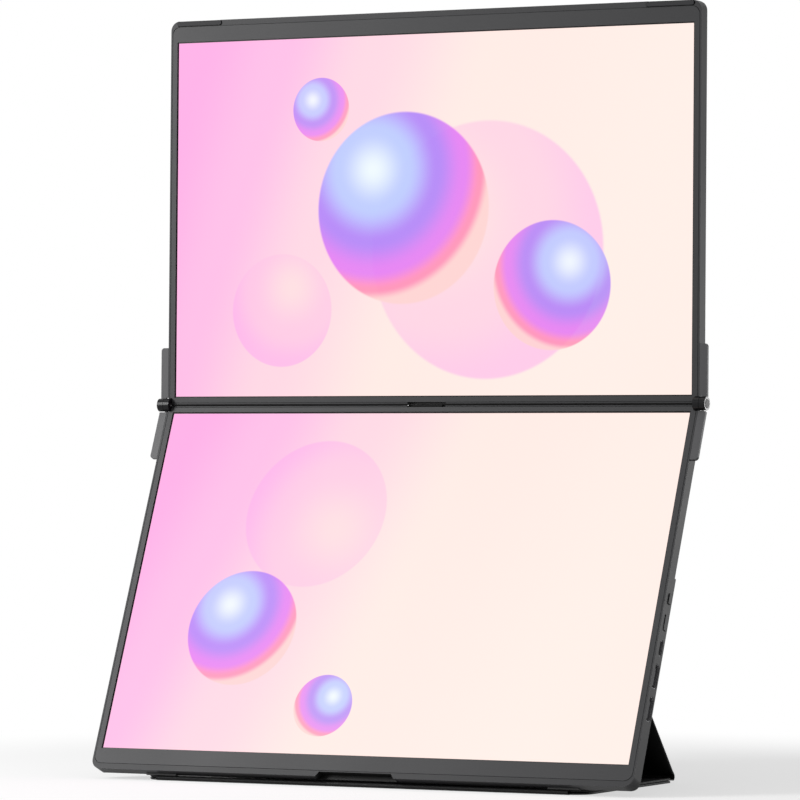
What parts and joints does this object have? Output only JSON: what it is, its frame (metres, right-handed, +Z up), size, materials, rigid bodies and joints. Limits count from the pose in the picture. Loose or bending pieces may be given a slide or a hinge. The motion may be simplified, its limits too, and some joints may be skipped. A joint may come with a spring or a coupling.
{
  "type": "portable monitor with cover",
  "caption": "Folding portable double monitor with side hinges, side sockets and keys, and a folding cover that stands it up.",
  "frame": {"origin": "centre of the object's footprint, on the surface it stands on", "axes": "+X to the right seen from the front, +Y to the back, +Z up"},
  "size_m": [0.3662, 0.128, 0.4561],
  "materials": {
    "shell_plastic": "fine matte grain",
    "bezel_plastic": "fine matte grain",
    "screen_glass": "anti-glare",
    "film": "satin",
    "acrylic": "clear",
    "board_green": "solder mask",
    "chip_black": "matte",
    "tray_steel": "satin",
    "hinge_alloy": "satin",
    "pin_steel": "polished",
    "socket_metal": "satin",
    "copper_film": "satin",
    "key_plastic": "matte",
    "dark_rubber": "matte",
    "foot_rubber": "matte",
    "cover_leather": "fine grain",
    "cover_board": "plain",
    "cover_lining": "brushed microfibre",
    "magnet": "plated"
  },
  "bodies": {
    "lower_display": {"lower_rear_shell": "shell_plastic", "lower_bezel": "bezel_plastic", "lower_lcd_cell": "screen_glass", "lower_optical_films": "film", "lower_light_guide": "acrylic", "lower_led_strip": "board_green", "lower_lcd_tray": "tray_steel", "lower_driver_board": "board_green", "lower_flex_cable": "copper_film", "lower_hinge_leaf_left": "hinge_alloy", "lower_hinge_leaf_right": "hinge_alloy", "lower_leaf_screws": "hinge_alloy", "main_board": "board_green", "main_board_chips": "chip_black", "board_screws": "tray_steel", "usb_socket": "socket_metal", "usb_tongue": "chip_black", "video_socket_upper": "socket_metal", "video_socket_lower": "socket_metal", "video_tongues": "key_plastic", "seam_cable_sleeve": "shell_plastic", "seam_seal": "dark_rubber", "hinge_pin_left": "pin_steel", "hinge_pin_right": "pin_steel", "friction_washers": "tray_steel", "rubber_foot_left": "foot_rubber", "rubber_foot_right": "foot_rubber", "rocker_pin": "tray_steel", "key_switches": "chip_black", "cover_plate_skin": "cover_leather", "cover_plate_board": "cover_board", "cover_plate_lining": "cover_lining", "cover_magnet_pad": "dark_rubber", "cover_magnets": "magnet"},
    "upper_display": {"upper_rear_shell": "shell_plastic", "upper_bezel": "bezel_plastic", "upper_lcd_cell": "screen_glass", "upper_optical_films": "film", "upper_light_guide": "acrylic", "upper_led_strip": "board_green", "upper_lcd_tray": "tray_steel", "upper_driver_board": "board_green", "upper_flex_cable": "copper_film", "upper_hinge_leaf_left": "hinge_alloy", "upper_hinge_leaf_right": "hinge_alloy", "upper_leaf_screws": "hinge_alloy", "bumper_left": "dark_rubber", "bumper_right": "dark_rubber"},
    "stand_leg": {"cover_leg_skin": "cover_leather", "cover_leg_board": "cover_board", "cover_leg_lining": "cover_lining"},
    "stand_base": {"cover_base_skin": "cover_leather", "cover_base_board": "cover_board", "cover_base_lining": "cover_lining"},
    "front_flap": {"cover_flap_skin": "cover_leather", "cover_flap_board": "cover_board", "cover_flap_lining": "cover_lining"},
    "power_key": {"power_button": "key_plastic"},
    "menu_rocker": {"rocker_key": "key_plastic"}
  },
  "joints": [
    {"name": "display_hinge", "type": "hinge", "parent": "lower_display", "child": "upper_display", "pos_m": [0, 0.02656, 0.22202], "axis": [1, 0, 0], "range_deg": [-21.9, 158]},
    {"name": "stand_fold", "type": "hinge", "parent": "lower_display", "child": "stand_leg", "pos_m": [0, -0.01431, 0.0948], "axis": [-1, 0, 0], "range_deg": [0, 63.2]},
    {"name": "base_fold", "type": "hinge", "parent": "stand_leg", "child": "stand_base", "pos_m": [0, 0.06122, 0.0028], "axis": [1, 0, 0], "range_deg": [0, 131]},
    {"name": "flap_open", "type": "hinge", "parent": "stand_base", "child": "front_flap", "pos_m": [0, -0.05811, 0.0014], "axis": [-1, 0, 0], "range_deg": [0, 178]},
    {"name": "power_press", "type": "slide", "parent": "lower_display", "child": "power_key", "axis": [-1, 0, 0], "range_m": [0, 0.0005], "stiffness_N_per_m": 2500},
    {"name": "rocker_tilt", "type": "hinge", "parent": "lower_display", "child": "menu_rocker", "pos_m": [0.1762, -0.0196, 0.09682], "axis": [0, 0.9212, -0.3891], "range_deg": [-3, 3], "stiffness_Nm_per_rad": 0.2}
  ],
  "couplings": [
    {"joint": "base_fold", "follows": "stand_fold", "ratio": 2.04}
  ]
}
